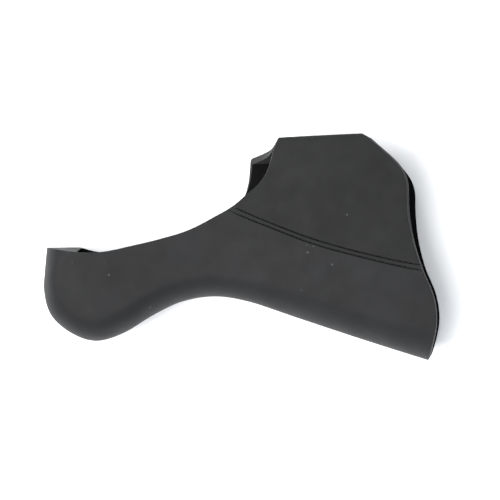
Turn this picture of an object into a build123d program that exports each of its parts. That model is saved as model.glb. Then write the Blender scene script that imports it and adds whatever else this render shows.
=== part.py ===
"""Rubber hood of a drop-bar brake and shift lever, lying on its left side.

All sizes are millimetres. The hood is drawn in its own frame first: +X runs back
towards the handlebar, +Y runs towards the underside of the lever, and +Z is the
rider's right. The finished pieces are then laid flat on their left wall.
"""

import math
import os

from build123d import *

# ---- driving dimensions ------------------------------------------------------
WALL = 2.2  # rubber thickness of the walls
STRAP_CORNER = 3.0  # rounding where the strap turns into the side walls
STRAP_DROP = 5.0  # the strap's left edge lies this much nearer the crown
GROOVE_WIDTH = 0.55  # width of each seam groove
GROOVE_DEPTH = 0.6  # depth of each seam groove
PEG_RADIUS = 2.0  # locating pegs on the inside of both walls
PEG_LENGTH = 2.6
PEG_PAD_RADIUS = 3.6  # flat pad that each peg stands on
PEG_PAD_HEIGHT = 0.6
PEG_CHAMFER = 0.4
LAY_FLAT_ANGLE = 1.9  # degrees between the middle plane and the left wall
OUTLINE_Z = 17.0  # rims are drawn this far either side of the middle plane
CUTTER_Z = 24.0  # and their cutters reach out to here

# Half width of the hood seen from above, as (x, half width).
HALF_WIDTH = [
    (-66.0, 9.6),
    (-63.0, 12.4),
    (-57.5, 14.2),
    (-49.0, 14.8),
    (-36.0, 14.4),
    (-20.0, 13.7),
    (-8.0, 13.8),
    (4.0, 14.8),
    (18.0, 16.2),
    (36.0, 17.5),
    (58.0, 18.4),
    (76.0, 18.6),
]

# Ribs of the grip sleeve: crown point, upper point and height of the crown rounding.
# They fan round the nose, then march back along the neck and the rear.
SLEEVE_RIBS = [
    ((-63.6, 2.5), (-56.0, 2.5), 6.6),
    ((-64.7, -5.2), (-54.8, 2.4), 8.0),
    ((-65.4, -14.6), (-53.0, 2.3), 9.0),
    ((-62.7, -23.0), (-50.2, 2.2), 9.0),
    ((-55.9, -28.7), (-47.2, 2.1), 9.0),
    ((-47.9, -31.1), (-44.2, 2.2), 9.0),
    ((-38.8, -28.3), (-39.8, 3.0), 8.5),
    ((-29.5, -22.6), (-33.2, 4.6), 8.0),
    ((-19.7, -18.0), (-25.0, 6.6), 7.8),
    ((-8.9, -16.3), (-14.4, 10.0), 8.0),
    ((2.5, -18.1), (-2.8, 16.0), 9.5),
    ((18.4, -23.4), (16.2, 9.0), 11.0),
    ((39.0, -30.2), (37.0, 4.0), 11.5),
    ((59.6, -36.7), (58.5, -1.5), 12.0),
    ((74.0, -41.1), (74.0, -3.8), 12.0),
]
# The cavity starts behind the solid nose, then follows the sleeve from this rib on.
CAVITY_START = ((-60.0, -25.4), (-51.4, 2.3), 9.0)
CAVITY_JOINS_RIB = 5
CAVITY_END = ((80.0, -43.0), (80.0, -4.6), 12.0)

# Rim of the neck and of the front opening, right side and left side. The left
# side stands a little higher at the nose and opens further forward at the strap.
NECK_RIGHT = [
    (-66.0, -0.6),
    (-58.0, -1.1),
    (-52.0, -1.6),
    (-45.3, -1.6),
    (-35.7, 0.3),
    (-26.1, 2.6),
    (-16.5, 5.6),
    (-8.0, 9.6),
    (-1.6, 13.1),
]
NECK_LEFT = [
    (-66.0, 1.0),
    (-58.0, 0.6),
    (-52.0, 0.1),
    (-45.3, 0.0),
    (-35.7, 1.2),
    (-26.1, 2.9),
    (-16.8, 5.6),
    (-8.6, 9.4),
    (-2.4, 13.1),
]
OPENING_RIGHT = [(-1.6, 13.1), (2.4, 17.2), (7.3, 21.9), (9.8, 27.0), (11.1, 32.0), (15.5, 42.0)]
OPENING_LEFT = [(-2.4, 13.1), (0.4, 17.4), (1.1, 22.3), (1.6, 26.9), (2.2, 31.2), (5.0, 42.0)]

# Rear rim from above the strap down past the crown, right side and left side.
REAR_RIGHT = [
    (36.0, 46.0),
    (40.4, 35.9),
    (45.2, 31.4),
    (49.8, 27.6),
    (52.9, 23.2),
    (53.4, 14.0),
    (54.6, 4.5),
    (58.1, -6.2),
    (62.3, -17.0),
    (62.9, -24.6),
    (61.3, -32.6),
    (56.6, -46.0),
]
REAR_LEFT = [
    (43.0, 46.0),
    (43.8, 36.4),
    (47.8, 31.8),
    (52.8, 27.6),
    (56.4, 22.6),
    (57.9, 13.5),
    (58.8, 3.0),
    (61.2, -6.8),
    (65.0, -16.4),
    (66.0, -24.0),
    (64.5, -33.0),
    (59.6, -47.0),
]

# Seams between the pieces, the same on both sides.
UPPER_SEAM = [
    (-6.0, 14.7),
    (-0.9, 12.1),
    (8.7, 7.9),
    (23.4, 2.2),
    (39.0, -2.2),
    (56.2, -5.4),
    (72.0, -7.6),
]
LOWER_SEAM = [
    (-6.0, 13.0),
    (-2.1, 10.9),
    (8.7, 6.4),
    (23.4, 0.8),
    (39.0, -3.5),
    (56.2, -6.9),
    (72.0, -9.2),
]

# Top line of the underside strap, front to back, as (x, y).
STRAP_TOP = [(-12.0, 34.4), (4.0, 35.0), (20.0, 35.7), (34.0, 36.3), (78.0, 37.6)]
# Fall of the strap below its right edge, as (share of its width, share of the drop).
STRAP_FALL = [(0.0, 0.0), (0.08, 0.38), (0.2, 0.64), (0.5, 0.81), (1.0, 1.0)]
COVER_STATIONS = [-12.0, 0.0, 12.0, 24.0, 36.0, 48.0, 60.0, 72.0]
COVER_BOTTOM = -16.0

# Locating pegs, as (x, y) of their axis on both walls.
SLEEVE_PEG = (33.0, -13.0)
COVER_PEG = (27.0, 18.0)

CROWN_STEPS = 9  # points round a quarter of the crown
WALL_STEPS = 5  # points up each flat wall


# ---- helpers -----------------------------------------------------------------
def smooth_value(table, x):
    """Cubic interpolation through a table of (x, value) pairs."""
    last = len(table) - 1
    i = 0
    while i < last - 1 and x > table[i + 1][0]:
        i += 1

    def slope(k):
        low = table[max(k - 1, 0)]
        high = table[min(k + 1, last)]
        return (high[1] - low[1]) / (high[0] - low[0])

    x0, y0 = table[i]
    x1, y1 = table[i + 1]
    span = x1 - x0
    t = min(max((x - x0) / span, 0.0), 1.0)
    rise = (3 - 2 * t) * t**2
    start = (t**3 - 2 * t**2 + t) * span * slope(i)
    end = (t**3 - t**2) * span * slope(i + 1)
    return y0 + rise * (y1 - y0) + start + end


def half_width(x):
    """Distance from the middle plane to the outside of either wall."""
    return smooth_value(HALF_WIDTH, x)


def rib_points(rib, inset, extra):
    """Points along one rib of the grip sleeve, from the left rim to the right."""
    (cx, cy), (bx, by), crown_height = rib
    length = math.hypot(bx - cx, by - cy)
    ux, uy = (bx - cx) / length, (by - cy) / length
    height = crown_height - inset * 0.5
    flat = length + extra - inset - height
    half = []
    for i in range(CROWN_STEPS + 1):
        angle = math.pi / 2 * i / CROWN_STEPS
        half.append((math.sin(angle), inset + height * (1 - math.cos(angle))))
    for i in range(1, WALL_STEPS + 1):
        half.append((1.0, inset + height + flat * i / WALL_STEPS))
    points = []
    for side, depth in [(-side, depth) for side, depth in reversed(half[1:])] + half:
        x = cx + ux * depth
        points.append(Vector(x, cy + uy * depth, side * (half_width(x) - inset)))
    return points


def mean_spacing(rows):
    """Spline parameters shared by all rows, from their average point spacing."""
    steps = [0.0] * (len(rows[0]) - 1)
    for row in rows:
        lengths = [(b - a).length for a, b in zip(row, row[1:])]
        total = sum(lengths)
        steps = [step + length / total for step, length in zip(steps, lengths)]
    parameters = [0.0]
    for step in steps:
        parameters.append(parameters[-1] + step / len(rows))
    return parameters


def sleeve_body(ribs, inset, extra):
    """Solid body of the grip sleeve, shrunk by inset, its upper side raised by extra."""
    rows = [rib_points(rib, inset, extra) for rib in ribs]
    parameters = mean_spacing(rows)
    sections = []
    for row in rows:
        rib = Edge.make_spline(row, parameters=parameters)
        sections.append(Wire([rib, Edge.make_line(row[-1], row[0])]))
    return Solid.make_loft(sections)


def cover_body(stations, inset, bottom):
    """Solid body of the housing cover, shrunk by inset, reaching down to bottom."""
    sections = []
    for x in stations:
        w = half_width(x) - inset
        top = smooth_value(STRAP_TOP, x) - inset
        low = top - STRAP_DROP
        r = STRAP_CORNER - inset
        c = r * (1 - math.sqrt(0.5))
        right = Edge.make_line((x, bottom, w), (x, top - r, w))
        right_bend = ThreePointArc((x, top - r, w), (x, top - c, w - c), (x, top, w - r)).edge()
        strap = Edge.make_spline([(x, top - fall * STRAP_DROP, (w - r) * (1 - 2 * share))
                                  for share, fall in STRAP_FALL])
        left_bend = ThreePointArc((x, low, r - w), (x, low - c, c - w), (x, low - r, -w)).edge()
        left = Edge.make_line((x, low - r, -w), (x, bottom, -w))
        floor = Edge.make_line((x, bottom, -w), (x, bottom, w))
        sections.append(Wire([right, right_bend, strap, left_bend, left, floor]))
    return Solid.make_loft(sections)


def outline(curves, corners, z):
    """Closed wire at height z: splines joined end to end, closed through corners."""
    edges = [Spline(*[(x, y, z) for x, y in curve]).edge() for curve in curves]
    path = [curves[-1][-1]] + corners + [curves[0][0]]
    for (ax, ay), (bx, by) in zip(path, path[1:]):
        edges.append(Line((ax, ay, z), (bx, by, z)).edge())
    return Wire(edges)


def cutter(right_curves, left_curves, corners):
    """Trimming solid that slides from the right-hand outline to the left-hand one."""
    reach = CUTTER_Z / OUTLINE_Z

    def stretched(curves, other_curves):
        result = []
        for curve, other in zip(curves, other_curves):
            pairs = zip(curve, other)
            result.append([((x + u) / 2 + (x - u) / 2 * reach, (y + v) / 2 + (y - v) / 2 * reach)
                           for (x, y), (u, v) in pairs])
        return result

    right = outline(stretched(right_curves, left_curves), corners, CUTTER_Z)
    left = outline(stretched(left_curves, right_curves), corners, -CUTTER_Z)
    return Solid.make_loft([left, right], ruled=True)


def shifted(curve, dy):
    """The same curve moved along Y."""
    return [(x, y + dy) for x, y in curve]


def band(low, high):
    """Solid between two curves that run the same way, through both walls."""
    right = [Spline(*[(x, y, CUTTER_Z) for x, y in low]).edge()]
    right.append(Line((*low[-1], CUTTER_Z), (*high[-1], CUTTER_Z)).edge())
    right.append(Spline(*[(x, y, CUTTER_Z) for x, y in reversed(high)]).edge())
    right.append(Line((*high[0], CUTTER_Z), (*low[0], CUTTER_Z)).edge())
    return Solid.extrude(Face(Wire(right)), Vector(0, 0, -2 * CUTTER_Z))


def skin(side, depth):
    """Layer of the wall on one side, from the outside surface in to depth."""
    stations = [x for x, _ in HALF_WIDTH]
    inside = Spline(*[(x, -30, side * (half_width(x) - depth)) for x in stations]).edge()
    first, last = stations[0], stations[-1]
    far = side * CUTTER_Z
    down = Line(inside @ 1, (last, -30, far)).edge()
    across = Line((last, -30, far), (first, -30, far)).edge()
    up = Line((first, -30, far), inside @ 0).edge()
    return Solid.extrude(Face(Wire([inside, down, across, up])), Vector(0, 70, 0))


def peg(x, y, side):
    """Locating peg on its pad on the inside of one wall, pointing at the middle."""
    inside = half_width(x) - WALL
    pad_length = PEG_PAD_HEIGHT + 0.8
    pad = Pos(x, y, inside - PEG_PAD_HEIGHT + pad_length / 2) * Cylinder(PEG_PAD_RADIUS, pad_length)
    pin = Cylinder(PEG_RADIUS, PEG_LENGTH + 1.0)
    pin = chamfer(pin.edges().sort_by(Axis.Z)[0], PEG_CHAMFER)
    tip = inside - PEG_PAD_HEIGHT - PEG_LENGTH
    both = pad + Pos(x, y, tip + (PEG_LENGTH + 1.0) / 2) * pin
    return both if side > 0 else mirror(both, Plane.XY)


# ---- pieces ------------------------------------------------------------------
def build_pieces():
    """All pieces of the hood in the drawing frame, by name."""
    sleeve_outside = sleeve_body(SLEEVE_RIBS, 0.0, 0.0)
    cavity_ribs = [CAVITY_START] + SLEEVE_RIBS[CAVITY_JOINS_RIB:] + [CAVITY_END]
    sleeve_inside = sleeve_body(cavity_ribs, WALL, 4.0)
    cover_outside = cover_body(COVER_STATIONS, 0.0, COVER_BOTTOM)
    cover_inside = cover_body([-16.0] + COVER_STATIONS[1:-1] + [76.0], WALL, COVER_BOTTOM - 4.0)

    mouth = cutter(
        [NECK_RIGHT, OPENING_RIGHT],
        [NECK_LEFT, OPENING_LEFT],
        [(4.6, 50.0), (-70.0, 50.0), (-70.0, 0.0)],
    )
    rear = cutter([REAR_RIGHT], [REAR_LEFT], [(90.0, -48.0), (90.0, 46.0)])
    above_lower_seam = cutter([LOWER_SEAM], [LOWER_SEAM], [(72.0, 60.0), (-6.0, 60.0)])
    below_upper_seam = cutter([UPPER_SEAM], [UPPER_SEAM], [(72.0, -40.0), (-20.0, -40.0), (-20.0, 14.7)])

    sleeve = sleeve_outside - mouth - rear - above_lower_seam - sleeve_inside
    shell = cover_outside - cover_inside - mouth - rear
    cover = shell - below_upper_seam
    strips = shell & band(LOWER_SEAM, UPPER_SEAM)

    half = GROOVE_WIDTH / 2
    for seam in (LOWER_SEAM, UPPER_SEAM):
        lane = band(shifted(seam, -half), shifted(seam, half))
        for side in (1, -1):
            groove = lane & skin(side, GROOVE_DEPTH)
            sleeve -= groove
            cover -= groove
            strips -= groove

    for side in (1, -1):
        sleeve += peg(*SLEEVE_PEG, side)
        cover += peg(*COVER_PEG, side)

    by_height = strips.solids().sort_by(Axis.Z)
    return {
        "grip_sleeve": sleeve,
        "housing_cover": cover,
        "seam_strip_right": by_height[-1],
        "seam_strip_left": by_height[0],
    }


def extent(pieces):
    """Lowest and highest corner of all pieces, measured on a fine mesh."""
    points = []
    for piece in pieces:
        vertices, _ = piece.tessellate(0.02)
        points.extend(vertices)
    low = [min(getattr(p, axis) for p in points) for axis in "XYZ"]
    high = [max(getattr(p, axis) for p in points) for axis in "XYZ"]
    return low, high


def lay_flat(pieces):
    """Turn the hood onto its left wall and centre it over the origin."""
    turned = {name: Rot(0, -LAY_FLAT_ANGLE, 0) * piece for name, piece in pieces.items()}
    low, high = extent(turned.values())
    move = Pos(-(low[0] + high[0]) / 2, -(low[1] + high[1]) / 2, -low[2])
    return {name: move * piece for name, piece in turned.items()}


os.makedirs("parts", exist_ok=True)
for piece_name, piece in lay_flat(build_pieces()).items():
    export_step(piece, f"parts/{piece_name}.step")
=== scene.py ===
"""Looks of a rubber brake lever hood that lies on its left side on a white table.

The hood is built as four pieces: the grip sleeve, the housing cover and the two
narrow strips that lie between the seam grooves. Each piece is a closed mesh: an outer
skin and an inner skin, joined round every rim. Locating pegs stand inside the walls.
Outlines are given in millimetres in the hood's drawing frame (+X back to the
handlebar, +Y to the underside, +Z to the rider's right, Z = 0 in the middle). All
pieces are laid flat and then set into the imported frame's box.
"""

import math

import bmesh
import bpy
import numpy as np
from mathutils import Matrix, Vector


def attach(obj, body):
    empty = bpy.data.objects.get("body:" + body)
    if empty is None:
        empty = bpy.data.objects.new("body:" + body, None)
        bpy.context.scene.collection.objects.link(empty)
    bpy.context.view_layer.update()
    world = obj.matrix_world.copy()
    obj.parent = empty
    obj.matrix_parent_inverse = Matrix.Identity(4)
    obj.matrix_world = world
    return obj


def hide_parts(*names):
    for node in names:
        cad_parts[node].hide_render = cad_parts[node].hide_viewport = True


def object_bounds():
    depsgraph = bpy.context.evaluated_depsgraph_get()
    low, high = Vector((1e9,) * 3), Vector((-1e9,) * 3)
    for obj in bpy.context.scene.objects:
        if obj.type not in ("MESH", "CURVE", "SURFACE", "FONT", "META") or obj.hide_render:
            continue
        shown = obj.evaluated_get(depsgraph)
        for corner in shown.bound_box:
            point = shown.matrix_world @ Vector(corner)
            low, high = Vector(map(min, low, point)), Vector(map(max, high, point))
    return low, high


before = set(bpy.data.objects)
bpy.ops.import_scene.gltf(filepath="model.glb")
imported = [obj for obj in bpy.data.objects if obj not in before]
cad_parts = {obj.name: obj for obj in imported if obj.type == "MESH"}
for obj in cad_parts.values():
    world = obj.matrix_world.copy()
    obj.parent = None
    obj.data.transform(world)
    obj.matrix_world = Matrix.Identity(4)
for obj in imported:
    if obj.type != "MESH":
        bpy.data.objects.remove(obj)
CAD_BOX = [list(corner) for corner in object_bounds()]

# ---- driving dimensions, millimetres -------------------------------------------
MM = 0.001
WALL = 2.2
STRAP_CORNER = 1.6
STRAP_DROP = 5.0  # the strap's left edge lies this much nearer the crown
STRAP_STEP = 3.1  # of which this much comes close to the right edge
SLEEVE_SLANT = 0.45  # the outer skin ends this much before the inner one at the rear
COVER_SLANT = 0.9  # and by this much on the cover
STRAP_POWER = 10  # how steeply that step falls next to the right edge
GROOVE = 0.5  # width of a seam groove at the surface; it closes at the inner skin
GROOVE_START = -2.6  # place along the hood where the grooves begin
GROOVE_END = 58.6
GROOVE_FADE = 3.2  # length over which they open to their full width
LIP = 0.32  # distance of the loops that keep rims crisp
LAY_FLAT_ANGLE = 1.9
OUTLINE_Z = 17.0  # the right and left outlines are given at this distance

# Half width of the hood seen from above.
HALF_WIDTH = [(-66, 9.6), (-63, 12.4), (-57.5, 14.2), (-49, 14.8), (-36, 14.4), (-20, 13.7),
              (-8, 13.8), (4, 14.8), (18, 16.2), (36, 17.5), (58, 18.4), (76, 18.6)]

# Crown points, rim positions and crown rounding of the ribs, from the nose backwards.
CROWN = [(-64.4, 0.0), (-65.1, -7.2), (-65.4, -15.0), (-62.9, -22.8), (-56.1, -28.6),
         (-47.9, -31.1), (-38.8, -28.3), (-29.5, -22.6), (-19.7, -18.0), (-8.9, -16.3),
         (2.5, -18.1), (18.4, -23.4), (39.0, -30.2), (59.6, -36.7), (74.0, -41.1)]
RIM_X = [-56.2, -55.0, -53.4, -51.0, -48.0, -44.6, -40.2, -33.6, -25.4, -15.6]
SEAM_X = [16.7, 37.2, 58.5, 74.0]
CROWN_HEIGHT = [6.6, 8.0, 9.0, 9.0, 9.0, 9.0, 8.5, 8.0, 7.8, 8.0, 9.5, 11.0, 11.5, 12.0, 12.0]
CORNER_RIB = 10
CAVITY_RIB = 2.1  # the solid nose ends at this rib
CAVITY_SLANT = 0.7  # and this much earlier on the left
CAVITY_BULGE = 2.6  # depth of the hollow in the solid nose's rear wall

# Rim of the neck as (x, y), right side and left.
NECK_RIGHT = [(-66, -0.3), (-61.8, -0.6), (-58.3, -1.15), (-55, -1.5), (-51.8, -1.75), (-48.5, -1.8),
              (-45.3, -1.6), (-42.1, -1.15), (-35.7, 0.3), (-26.1, 2.6), (-16.5, 5.6), (-8, 10.0),
              (-1.6, 13.8), (2.7, 17.6)]
NECK_LEFT = [(-66, -0.5), (-61.8, -0.4), (-58.3, -0.15), (-55.5, 0.0), (-52.2, -0.9), (-49, -1.6),
             (-45.3, -1.5), (-42.1, -1.05), (-35.7, 0.3), (-26.1, 2.6), (-16.5, 5.6), (-8, 10.0),
             (-1.6, 13.8), (2.7, 17.6)]
# The same rim and the front opening as (y, x), up to the strap.
MOUTH_RIGHT = [(-1.0, -41.5), (0.3, -35.7), (2.6, -26.1), (5.6, -16.5), (10.0, -8.0), (13.8, -1.6),
               (16.8, 1.8), (19.3, 5.0), (21.8, 7.3), (24.8, 9.0), (27.8, 10.0), (31.4, 10.8),
               (35.2, 12.4), (42.0, 15.5)]
MOUTH_LEFT = [(-1.0, -41.5), (0.3, -35.7), (2.6, -26.1), (5.6, -16.5), (10.0, -8.0), (13.8, -2.4),
              (17.4, 0.2), (19.5, 0.6), (23.0, 1.0), (26.9, 1.2), (30.1, 1.4), (34.0, 3.0),
              (42.0, 5.0)]
MOUTH_BEND = 1.6  # above 1 the opening's rim stays close to the right outline for longer

# Rear rim as (y, x), right side and left.
REAR_RIGHT = [(-46, 56.8), (-32.6, 61.5), (-24.6, 63.1), (-17, 62.5), (-6.2, 58.3), (4.5, 55.25),
              (14, 54.05), (22.6, 53.65), (25.2, 52.45), (28.6, 49.4), (31.4, 46.0), (34.6, 42.4),
              (36.6, 39.8), (46, 30.4)]
REAR_LEFT = [(-47, 59.8), (-33, 64.7), (-24, 66.2), (-16.4, 65.2), (-6.8, 61.4), (3, 59.0),
             (13.5, 58.1), (20.4, 57.8), (23.4, 56.4), (27.6, 53.0), (31.8, 48.0), (36.4, 44.0),
             (46, 43.0)]

UPPER_SEAM = [(-6, 14.7), (-0.9, 12.3), (8.7, 8.2), (23.4, 2.6), (39, -1.8), (56.2, -5.5), (72, -7.6)]
LOWER_SEAM = [(-6, 13.0), (-2.1, 11.1), (8.7, 6.7), (23.4, 1.1), (39, -3.2), (56.2, -7.1), (72, -9.3)]
STRAP_TOP = [(-12, 34.4), (4, 35.0), (20, 35.75), (34, 36.35), (78, 37.6)]

PEG_RADIUS = 2.0
PEG_TIP_RADIUS = 1.5
PEG_CHAMFER = 0.4
PEG_LENGTH = 2.6
PEG_PAD_RADIUS = 3.6
PEG_PAD_HEIGHT = 0.6
PEG_ROUNDING = 0.1
PEG_SUNK = 0.6  # length of the pad that is buried in the wall
PEGS = {"grip_sleeve": (33.0, -13.0), "housing_cover": (27.0, 18.0)}

# Ranges in which a rim or corner is looked for, as places along the hood.
CORNER_RANGE = (-8.0, 2.0)
MOUTH_RANGE = (-8.0, 20.0)
REAR_RANGE = (30.0, 72.0)

# Points along and across the grids, without the extra loops at their rims.
SLEEVE_COLUMNS = 45
SLEEVE_FRONT_ROWS = 44
SLEEVE_BACK_ROWS = 30
COVER_ROWS = 34
COVER_WALL_LEVELS = 12
STRIP_ROWS = 40
PEG_STEPS = 36

# Points closer together than this are merged.
MERGE = 0.02 * MM
PEG_MERGE = 0.01 * MM
SLIVER = 0.005 * MM  # edges shorter than this are dissolved


# ---- curves ---------------------------------------------------------------------
def clamped(value):
    """The value, kept between 0 and 1."""
    return min(max(value, 0.0), 1.0)


def curve(table):
    """Smooth function through a table of (x, value) pairs."""
    xs = np.array([float(x) for x, _ in table])
    ys = np.array([float(y) for _, y in table])
    slopes = np.gradient(ys, xs)

    def value(x):
        i = int(np.clip(np.searchsorted(xs, x) - 1, 0, len(xs) - 2))
        span = xs[i + 1] - xs[i]
        t = clamped((x - xs[i]) / span)
        rise = (3 - 2 * t) * t * t
        start = (t**3 - 2 * t**2 + t) * span * slopes[i]
        end = (t**3 - t**2) * span * slopes[i + 1]
        return float(ys[i] + rise * (ys[i + 1] - ys[i]) + start + end)

    return value


def across(right, left, bend=1.0):
    """Function of (position, z) that slides from the right outline to the left one."""
    on_right, on_left = curve(right), curve(left)

    def value(position, z):
        share = max(0.5 * (1.0 - z / OUTLINE_Z), 0.0) ** bend
        return (1.0 - share) * on_right(position) + share * on_left(position)

    return value


def root(function, low, high):
    """Place between low and high where a rising function passes zero."""
    for _ in range(40):
        middle = 0.5 * (low + high)
        if function(middle) < 0:
            low = middle
        else:
            high = middle
    return 0.5 * (low + high)


half_width = curve(HALF_WIDTH)
neck_y = across(NECK_RIGHT, NECK_LEFT)
mouth_x = across(MOUTH_RIGHT, MOUTH_LEFT, MOUTH_BEND)
rear_x = across(REAR_RIGHT, REAR_LEFT)
upper_seam = curve(UPPER_SEAM)
lower_seam = curve(LOWER_SEAM)
strap_top = curve(STRAP_TOP)


def rear_end(point, inset):
    """Place where a skin ends at the rear, at the height and depth of point.

    The slant changes from the sleeve's to the cover's within 5 mm of y = 0.
    """
    share = clamped((point[1] + 5.0) / 10.0)
    slant = SLEEVE_SLANT + (COVER_SLANT - SLEEVE_SLANT) * share
    return rear_x(point[1], point[2]) - (0.0 if inset else slant)


def spaced(low, high, count, lip_low=0.0, lip_high=0.0):
    """Even samples from low to high, with an extra one close to either end."""
    values = list(np.linspace(low, high, count))
    if lip_low:
        values.insert(1, low + lip_low)
    if lip_high:
        values.insert(-1, high - lip_high)
    return values


def setback(x, inset):
    """Distance of the outer skin from a seam line, fading out at both ends of the seam."""
    if inset:
        return 0.0
    front = clamped((x - GROOVE_START) / GROOVE_FADE)
    rear = clamped((GROOVE_END - x) / GROOVE_FADE)
    return GROOVE / 2 * front * rear


# ---- grip sleeve ------------------------------------------------------------------
def sleeve_tables(side):
    """Functions of the rib number: crown x and y, rim x and y, crown height."""
    def rim_gap(x):
        return neck_y(x, side * half_width(x)) - lower_seam(x)

    corner = root(rim_gap, *CORNER_RANGE)
    ribs = range(len(CROWN))
    crown_x = curve([(i, CROWN[i][0]) for i in ribs])
    crown_y = curve([(i, CROWN[i][1]) for i in ribs])
    height = curve(list(enumerate(CROWN_HEIGHT)))
    neck = curve(list(enumerate(RIM_X + [corner])))
    seam = curve([(CORNER_RIB + i, x) for i, x in enumerate([corner] + SEAM_X)])

    def rim(u, inset):
        if u <= CORNER_RIB:
            x = neck(u)
            return x, neck_y(x, side * half_width(x))
        x = seam(u)
        return x, lower_seam(x) - setback(x, inset)

    return crown_x, crown_y, rim, height


SLEEVE = {1: sleeve_tables(1), -1: sleeve_tables(-1)}
CROWN_SHARE = 0.52  # share of the half profile taken by the crown rounding
SLEEVE_FRONT = SLEEVE_FRONT_ROWS + 1  # row where the neck rim meets the seam


def sleeve_point(u, v, inset):
    """Point of the sleeve's skin on rib u, from the left rim (-1) to the right (1)."""
    side = 1 if v >= 0 else -1
    crown_x, crown_y, rim, height = SLEEVE[side]
    cx, cy = crown_x(u), crown_y(u)
    bx, by = rim(u, inset)
    length = math.hypot(bx - cx, by - cy)
    rounding = height(u) - 0.5 * inset
    share = abs(v)
    if share < CROWN_SHARE:
        angle = math.pi / 2 * share / CROWN_SHARE
        depth = inset + rounding * (1 - math.cos(angle))
        spread = math.sin(angle)
    else:
        flat = length - inset - rounding
        depth = inset + rounding + flat * (share - CROWN_SHARE) / (1 - CROWN_SHARE)
        spread = 1.0
    x = cx + (bx - cx) * depth / length
    y = cy + (by - cy) * depth / length
    return np.array([x, y, side * spread * (half_width(x) - inset)])


def sleeve_grid(inset):
    """Rows of points of the sleeve's outer or inner skin, nose to rear rim."""
    across_v = spaced(-1.0, 1.0, SLEEVE_COLUMNS, 0.022, 0.022)
    front = spaced(0.0, CORNER_RIB, SLEEVE_FRONT_ROWS, 0.05, 0.05)
    back = spaced(0.0, 1.0, SLEEVE_BACK_ROWS, 0.012, 0.006)[1:]
    lines = []
    for v in across_v:
        def beyond(u):
            p = sleeve_point(u, v, inset)
            return p[0] - rear_end(p, inset)

        end = root(beyond, CORNER_RIB + 1.5, len(CROWN) - 1)
        stations = front + [CORNER_RIB + q * (end - CORNER_RIB) for q in back]
        point = cavity_point if inset else sleeve_point
        lines.append([point(u, v, inset) for u in stations])
    return np.array(lines).transpose(1, 0, 2)


def cavity_point(u, v, inset):
    """Inner skin: as sleeve_point, with the solid nose's rear wall at its front."""
    if u >= CAVITY_RIB:
        return sleeve_point(u, v, inset)
    foot = sleeve_point(CAVITY_RIB, v, inset)
    right = sleeve_point(CAVITY_RIB, 1.0, inset)
    left = sleeve_point(CAVITY_RIB - CAVITY_SLANT, -1.0, inset)
    lip = right + (left - right) * 0.5 * (1.0 - v)
    q = u / CAVITY_RIB
    point = lip + (foot - lip) * q
    point[0] -= CAVITY_BULGE * math.sin(math.pi * q) * (1.0 - v * v)
    return point


# ---- housing cover -----------------------------------------------------------------
def cover_levels():
    """Places round the cover's profile, right seam to left seam, as (part, share)."""
    walls = [(0, t) for t in spaced(0.0, 1.0, COVER_WALL_LEVELS, 0.012)]
    corner = [(1, t) for t in (0.25, 0.5, 0.75)]
    strap = [(2, t) for t in (0.0, 0.04, 0.09, 0.16, 0.25, 0.36, 0.5, 0.64, 0.78, 0.9, 1.0)]
    left_corner = [(3, t) for t in (0.25, 0.5, 0.75)]
    left_walls = [(4, 1.0 - t) for _, t in reversed(walls)]
    return walls + corner + strap + left_corner + left_walls


def cover_point(x, level, inset):
    """Point of the cover's skin at place x on one level of its profile."""
    part, t = level
    w = half_width(x) - inset
    r = STRAP_CORNER - inset
    seam = upper_seam(x) + setback(x, inset)
    top = strap_top(x) - inset
    low_top = top - STRAP_DROP
    if part == 0:
        return np.array([x, seam + t * (top - r - seam), w])
    if part == 1:
        angle = t * math.pi / 2
        return np.array([x, top - r + r * math.sin(angle), w - r + r * math.cos(angle)])
    if part == 2:
        drop = STRAP_STEP * (1 - (1 - t) ** STRAP_POWER) + (STRAP_DROP - STRAP_STEP) * t
        return np.array([x, top - drop, (w - r) * (1 - 2 * t)])
    if part == 3:
        angle = t * math.pi / 2
        return np.array([x, low_top - r + r * math.cos(angle), -w + r - r * math.sin(angle)])
    return np.array([x, low_top - r + (seam - low_top + r) * t, -w])


def walled_grid(levels, point, inset, count):
    """Rows of points between the mouth rim and the rear rim along each level."""
    lines = []
    for level in levels:
        def past_mouth(x):
            p = point(x, level, inset)
            return x - mouth_x(p[1], p[2])

        def past_rear(x):
            p = point(x, level, inset)
            return x - rear_end(p, inset)

        first = root(past_mouth, *MOUTH_RANGE)
        last = root(past_rear, *REAR_RANGE)
        lip = LIP / (last - first)
        stations = [first + q * (last - first) for q in spaced(0.0, 1.0, count, lip, lip)]
        lines.append([point(x, level, inset) for x in stations])
    return np.array(lines).transpose(1, 0, 2)


# ---- seam strips ---------------------------------------------------------------------
def strip_point(side):
    """Point function of one strip: share 0 on the lower seam, 1 on the upper."""
    def point(x, share, inset):
        low = lower_seam(x) + setback(x, inset)
        high = upper_seam(x) - setback(x, inset)
        return np.array([x, low + share * (high - low), side * (half_width(x) - inset)])

    return point


# ---- meshes ----------------------------------------------------------------------------
def to_frame(points):
    """Lay points of the drawing frame flat; the shift into the frame comes later."""
    angle = math.radians(-LAY_FLAT_ANGLE)
    x = points[:, 0] * math.cos(angle) + points[:, 2] * math.sin(angle)
    z = -points[:, 0] * math.sin(angle) + points[:, 2] * math.cos(angle)
    return np.column_stack([x, points[:, 1], z]) * MM


def finished(name, mesh, solid):
    """Object in the scene, smooth-shaded, from a mesh and the edited copy of it."""
    bmesh.ops.recalc_face_normals(solid, faces=solid.faces)
    solid.to_mesh(mesh)
    solid.free()
    for polygon in mesh.polygons:
        polygon.use_smooth = True
    piece = bpy.data.objects.new(name, mesh)
    bpy.context.scene.collection.objects.link(piece)
    return piece


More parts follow.
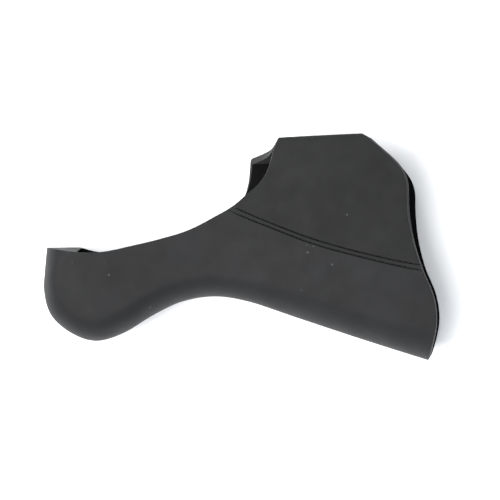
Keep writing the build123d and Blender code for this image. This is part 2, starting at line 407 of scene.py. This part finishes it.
def shell(name, outer, inner, corners):
    """Closed mesh from two matching grids of points, joined round all four sides.

    The grid places named in corners stay sharp right through the wall.
    """
    rows, columns, _ = outer.shape
    share = LIP / WALL
    vertices = list(outer.reshape(-1, 3)) + list(inner.reshape(-1, 3))
    faces = []
    offset = rows * columns

    def at(layer, i, j):
        return layer * offset + i * columns + j

    for i in range(rows - 1):
        for j in range(columns - 1):
            faces.append((at(0, i, j), at(0, i, j + 1), at(0, i + 1, j + 1), at(0, i + 1, j)))
            faces.append((at(1, i, j), at(1, i + 1, j), at(1, i + 1, j + 1), at(1, i, j + 1)))
    border = [(0, j) for j in range(columns - 1)]
    border += [(i, columns - 1) for i in range(rows - 1)]
    border += [(rows - 1, j) for j in range(columns - 1, 0, -1)]
    border += [(i, 0) for i in range(rows - 1, 0, -1)]
    rings = []
    for t in (0.0, share, 0.5, 1.0 - share, 1.0):
        if t in (0.0, 1.0):
            rings.append([at(int(t), i, j) for i, j in border])
            continue
        ring = []
        for i, j in border:
            ring.append(len(vertices))
            vertices.append(outer[i, j] * (1 - t) + inner[i, j] * t)
        rings.append(ring)
    for near, far in zip(rings, rings[1:]):
        for k in range(len(border)):
            n = (k + 1) % len(border)
            faces.append((near[k], far[k], far[n], near[n]))
    mesh = bpy.data.meshes.new(name)
    mesh.from_pydata([tuple(p) for p in to_frame(np.array(vertices))], [], faces)
    # Inner-skin faces take the second slot, which holds the rubber painted darker as shade inside the
    # hood; outer skin and rims take the first.
    skins = 2 * (rows - 1) * (columns - 1)
    slots = [k % 2 if k < skins else 0 for k in range(len(faces))]
    mesh.polygons.foreach_set("material_index", slots)
    solid = bmesh.new()
    solid.from_mesh(mesh)
    solid.verts.ensure_lookup_table()
    sharp_vertex = solid.verts.layers.float.new("crease_vert")
    sharp_edge = solid.edges.layers.float.new("crease_edge")
    for corner in corners:
        k = border.index(corner)
        line = [solid.verts[ring[k]] for ring in rings]
        for vertex in line:
            vertex[sharp_vertex] = 1.0
        for near, far in zip(line, line[1:]):
            solid.edges.get((near, far))[sharp_edge] = 1.0
    bmesh.ops.remove_doubles(solid, verts=solid.verts, dist=MERGE)
    bmesh.ops.dissolve_degenerate(solid, edges=solid.edges, dist=SLIVER)
    piece = finished(name, mesh, solid)
    smooth = piece.modifiers.new("smooth", "SUBSURF")
    smooth.levels = 2
    smooth.render_levels = 2
    return piece


def pegs(name, node):
    """The two locating pegs inside the walls of one piece, as turned solids."""
    x, y = PEGS[node]
    pad, foot = PEG_LENGTH, PEG_LENGTH + PEG_PAD_HEIGHT
    profile = [(0.0, 0.0), (PEG_TIP_RADIUS, 0.0), (PEG_RADIUS, PEG_CHAMFER),
               (PEG_RADIUS, pad - PEG_ROUNDING), (PEG_RADIUS + PEG_ROUNDING, pad),
               (PEG_PAD_RADIUS - PEG_ROUNDING, pad), (PEG_PAD_RADIUS, pad + PEG_ROUNDING),
               (PEG_PAD_RADIUS, foot + PEG_SUNK), (0.0, foot + PEG_SUNK)]
    vertices, faces = [], []
    for side in (1, -1):
        base = len(vertices)
        tip = half_width(x) - WALL - foot
        for radius, depth in profile:
            for k in range(PEG_STEPS):
                angle = 2 * math.pi * k / PEG_STEPS
                vertices.append((x + radius * math.cos(angle), y + radius * math.sin(angle),
                                 side * (tip + depth)))
        for ring in range(len(profile) - 1):
            for k in range(PEG_STEPS):
                n = (k + 1) % PEG_STEPS
                low = base + ring * PEG_STEPS
                high = low + PEG_STEPS
                faces.append((low + k, low + n, high + n, high + k))
    mesh = bpy.data.meshes.new(name)
    mesh.from_pydata([tuple(p) for p in to_frame(np.array(vertices))], [], faces)
    solid = bmesh.new()
    solid.from_mesh(mesh)
    bmesh.ops.remove_doubles(solid, verts=solid.verts, dist=PEG_MERGE)
    return finished(name, mesh, solid)


# ---- materials ----------------------------------------------------------------------------
# Painted highlight: the pale bluish grey that convex edges are lightened towards.
EDGE_HIGHLIGHT = (0.040, 0.043, 0.049)
DUST = (0.12, 0.125, 0.13)
# Dust on the inside, darkened as painted shade.
INSIDE_DUST_IN_PAINTED_SHADE = (0.004, 0.004, 0.0045)


def rubber(name, dark, light, seed, shine=0.2, dust_colour=DUST):
    """Matte moulded rubber: fine grain, faint cloudiness, edges lightened by a painted highlight and
    some dust.
    """
    material = bpy.data.materials.new(name)
    material.use_nodes = True
    nodes = material.node_tree.nodes
    links = material.node_tree.links
    shader = nodes["Principled BSDF"]
    shader.inputs["Specular IOR Level"].default_value = shine
    shader.inputs["Sheen Weight"].default_value = 0.03
    shader.inputs["Sheen Roughness"].default_value = 0.4
    place = nodes.new("ShaderNodeTexCoord").outputs["Object"]

    def noise(scale, detail, offset):
        shift = nodes.new("ShaderNodeMapping")
        shift.inputs["Location"].default_value = (offset, seed, -offset)
        links.new(place, shift.inputs["Vector"])
        node = nodes.new("ShaderNodeTexNoise")
        node.inputs["Scale"].default_value = scale
        node.inputs["Detail"].default_value = detail
        links.new(shift.outputs["Vector"], node.inputs["Vector"])
        return node.outputs["Fac"]

    def ramp(source, stops):
        node = nodes.new("ShaderNodeValToRGB")
        while len(node.color_ramp.elements) < len(stops):
            node.color_ramp.elements.new(0.5)
        for element, (position, colour) in zip(node.color_ramp.elements, stops):
            element.position = position
            element.color = (*colour, 1.0)
        links.new(source, node.inputs["Fac"])
        return node.outputs["Color"]

    def mixed(factor, a, b):
        node = nodes.new("ShaderNodeMix")
        node.data_type = "RGBA"
        links.new(factor, node.inputs["Factor"])
        for socket, value in ((node.inputs["A"], a), (node.inputs["B"], b)):
            if isinstance(value, tuple):
                socket.default_value = (*value, 1.0)
            else:
                links.new(value, socket)
        return node.outputs["Result"]

    clouds = ramp(noise(70.0, 3.0, 1.7), [(0.35, dark), (0.68, light)])
    # Painted highlight: convex edges, found by pointiness, are mixed towards a pale bluish grey.
    edges = nodes.new("ShaderNodeNewGeometry").outputs["Pointiness"]
    highlight_mask = ramp(edges, [(0.52, (0, 0, 0)), (0.62, (0.35, 0.35, 0.35))])
    edge_highlighted = mixed(highlight_mask, clouds, EDGE_HIGHLIGHT)

    specks = nodes.new("ShaderNodeTexVoronoi")
    specks.inputs["Scale"].default_value = 240.0
    links.new(place, specks.inputs["Vector"])
    speck_mask = ramp(specks.outputs["Distance"], [(0.045, (1, 1, 1)), (0.085, (0, 0, 0))])
    patches = ramp(noise(130.0, 1.0, 4.2), [(0.62, (0, 0, 0)), (0.7, (0.5, 0.5, 0.5))])
    dust = nodes.new("ShaderNodeMath")
    dust.operation = "MULTIPLY"
    links.new(speck_mask, dust.inputs[0])
    links.new(patches, dust.inputs[1])
    links.new(mixed(dust.outputs["Value"], edge_highlighted, dust_colour), shader.inputs["Base Color"])

    gloss = nodes.new("ShaderNodeMapRange")
    gloss.inputs["To Min"].default_value = 0.62
    gloss.inputs["To Max"].default_value = 0.78
    links.new(noise(180.0, 4.0, 2.9), gloss.inputs["Value"])
    links.new(gloss.outputs["Result"], shader.inputs["Roughness"])

    grain = nodes.new("ShaderNodeBump")
    grain.inputs["Strength"].default_value = 0.32
    grain.inputs["Distance"].default_value = 0.00012
    links.new(noise(2600.0, 3.0, 0.3), grain.inputs["Height"])
    swell = nodes.new("ShaderNodeBump")
    swell.inputs["Strength"].default_value = 0.25
    swell.inputs["Distance"].default_value = 0.0006
    links.new(noise(95.0, 2.0, 6.1), swell.inputs["Height"])
    links.new(swell.outputs["Normal"], grain.inputs["Normal"])
    links.new(grain.outputs["Normal"], shader.inputs["Normal"])
    return material


def table_top():
    """Plain white surface."""
    material = bpy.data.materials.new("white_table")
    material.use_nodes = True
    shader = material.node_tree.nodes["Principled BSDF"]
    shader.inputs["Base Color"].default_value = (0.93, 0.935, 0.945, 1.0)
    shader.inputs["Roughness"].default_value = 0.9
    shader.inputs["Specular IOR Level"].default_value = 0.1
    return material


def four_corners(grid):
    """The corner places of a grid of points."""
    rows, columns, _ = grid.shape
    return [(i, j) for i in (0, rows - 1) for j in (0, columns - 1)]


# ---- build the pieces ------------------------------------------------------------------------
def build():
    """All visible pieces, as (object, CAD node it stands for or belongs to, slot)."""
    outer = sleeve_grid(0.0)
    rows, columns, _ = outer.shape
    corners = [(i, j) for i in (SLEEVE_FRONT, rows - 1) for j in (0, columns - 1)]
    sleeve = shell("sleeve_skin", outer, sleeve_grid(WALL), corners)
    levels = cover_levels()
    outer = walled_grid(levels, cover_point, 0.0, COVER_ROWS)
    inner = walled_grid(levels, cover_point, WALL, COVER_ROWS)
    cover = shell("cover_skin", outer, inner, four_corners(outer))
    made = [(sleeve, "grip_sleeve", "sleeve_rubber"), (cover, "housing_cover", "cover_rubber")]
    for side, word in ((1, "right"), (-1, "left")):
        point = strip_point(side)
        shares = [0.0, 0.18, 0.5, 0.82, 1.0]
        outer = walled_grid(shares, point, 0.0, STRIP_ROWS)
        inner = walled_grid(shares, point, WALL, STRIP_ROWS)
        strip = shell(f"strip_skin_{word}", outer, inner, four_corners(outer))
        made.append((strip, f"seam_strip_{word}", "strip_rubber"))
    return made


def move_mesh(piece, move):
    """Shift the vertices of one piece."""
    for vertex in piece.data.vertices:
        vertex.co = [c + m for c, m in zip(vertex.co, move)]
    piece.data.update()


def set_into_frame(pieces):
    """Centre the pieces' box over the CAD box, set it on the table, return the shift."""
    corners = np.array([v.co[:] for piece in pieces for v in piece.data.vertices])
    low, high = corners.min(axis=0), corners.max(axis=0)
    box_low, box_high = np.array(CAD_BOX[0]), np.array(CAD_BOX[1])
    move = 0.5 * (box_low + box_high) - 0.5 * (low + high)
    move[2] = box_low[2] - low[2]
    for piece in pieces:
        move_mesh(piece, move)
    return move


made = build()
peg_pieces = [(pegs(f"{node}_pegs", node), node) for node in PEGS]
shift = set_into_frame([piece for piece, _, _ in made])
for piece, _ in peg_pieces:
    move_mesh(piece, shift)

# Painted shade: the cover and the strips take darker copies of the sleeve's rubber.
rubbers = {
    "sleeve_rubber": rubber("sleeve_rubber", (0.0078, 0.0078, 0.0083), (0.0102, 0.0103, 0.0111), 0.0),
    "cover_rubber": rubber("cover_rubber", (0.0055, 0.0056, 0.0060), (0.0076, 0.0077, 0.0082), 3.0),
    "strip_rubber": rubber("strip_rubber", (0.0060, 0.0061, 0.0065), (0.0080, 0.0081, 0.0086), 5.0),
}
# Painted shade: inner skins and pegs get a much darker, less shiny copy of the rubber, standing in
# for the shade inside the hood.
shaded_inside_rubber = rubber("inside_rubber_painted_shade", (0.0020, 0.0022, 0.0024), (0.0028, 0.0030, 0.0033), 8.0, 0.06,
                INSIDE_DUST_IN_PAINTED_SHADE)
for piece, node, slot in made:
    piece.data.materials.append(rubbers[slot])
    piece.data.materials.append(shaded_inside_rubber)
    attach(piece, "root")
    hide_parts(node)
for piece, node in peg_pieces:
    slot = "sleeve_rubber" if node == "grip_sleeve" else "cover_rubber"
    piece.data.materials.append(shaded_inside_rubber)
    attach(piece, "root")

# ---- table, light and camera -------------------------------------------------------------------
bpy.ops.mesh.primitive_plane_add(size=6.0, location=(0, 0, CAD_BOX[0][2]))
table = bpy.context.object
table.name = "table_top"
table.data.materials.append(table_top())


def area_light(name, place, aim, size, power, colour):
    """Square soft light at place, turned towards aim."""
    data = bpy.data.lights.new(name, "AREA")
    data.size = size
    data.energy = power
    data.color = colour
    lamp = bpy.data.objects.new(name, data)
    direction = np.array(aim) - np.array(place)
    lamp.location = place
    lamp.rotation_euler = Vector(direction).to_track_quat("-Z", "Y").to_euler()
    bpy.context.scene.collection.objects.link(lamp)


area_light("softbox", (-0.44, -0.10, 1.0), (0, 0, 0), 0.65, 21.0, (1.0, 0.99, 0.98))
area_light("low_fill", (0.1, -1.1, 0.45), (0, 0, 0), 0.9, 4.5, (0.84, 0.91, 1.0))
area_light("high_fill", (-0.2, 1.1, 0.45), (0, 0, 0), 0.9, 9.5, (0.97, 1.0, 0.98))

world = bpy.data.worlds.new("studio")
world.use_nodes = True
world.node_tree.nodes["Background"].inputs["Color"].default_value = (0.93, 0.96, 1.0, 1.0)
world.node_tree.nodes["Background"].inputs["Strength"].default_value = 0.6
bpy.context.scene.world = world
bpy.context.scene.view_settings.view_transform = "Standard"

FIELD = 0.160  # width of the view at the height of the upper wall
DISTANCE = 0.600  # camera above the upper wall
UPPER_WALL = CAD_BOX[1][2] - 0.0025  # its height where the camera looks
SENSOR = 36.0
VIEW_CENTRE = (2.66 * MM, -0.96 * MM)  # in the drawing frame
camera_data = bpy.data.cameras.new("camera")
camera_data.sensor_width = SENSOR
camera_data.lens = SENSOR * DISTANCE / FIELD
camera = bpy.data.objects.new("camera", camera_data)
camera.location = (VIEW_CENTRE[0] + float(shift[0]), VIEW_CENTRE[1] + float(shift[1]),
                   UPPER_WALL + DISTANCE)
bpy.context.scene.collection.objects.link(camera)
bpy.context.scene.camera = camera
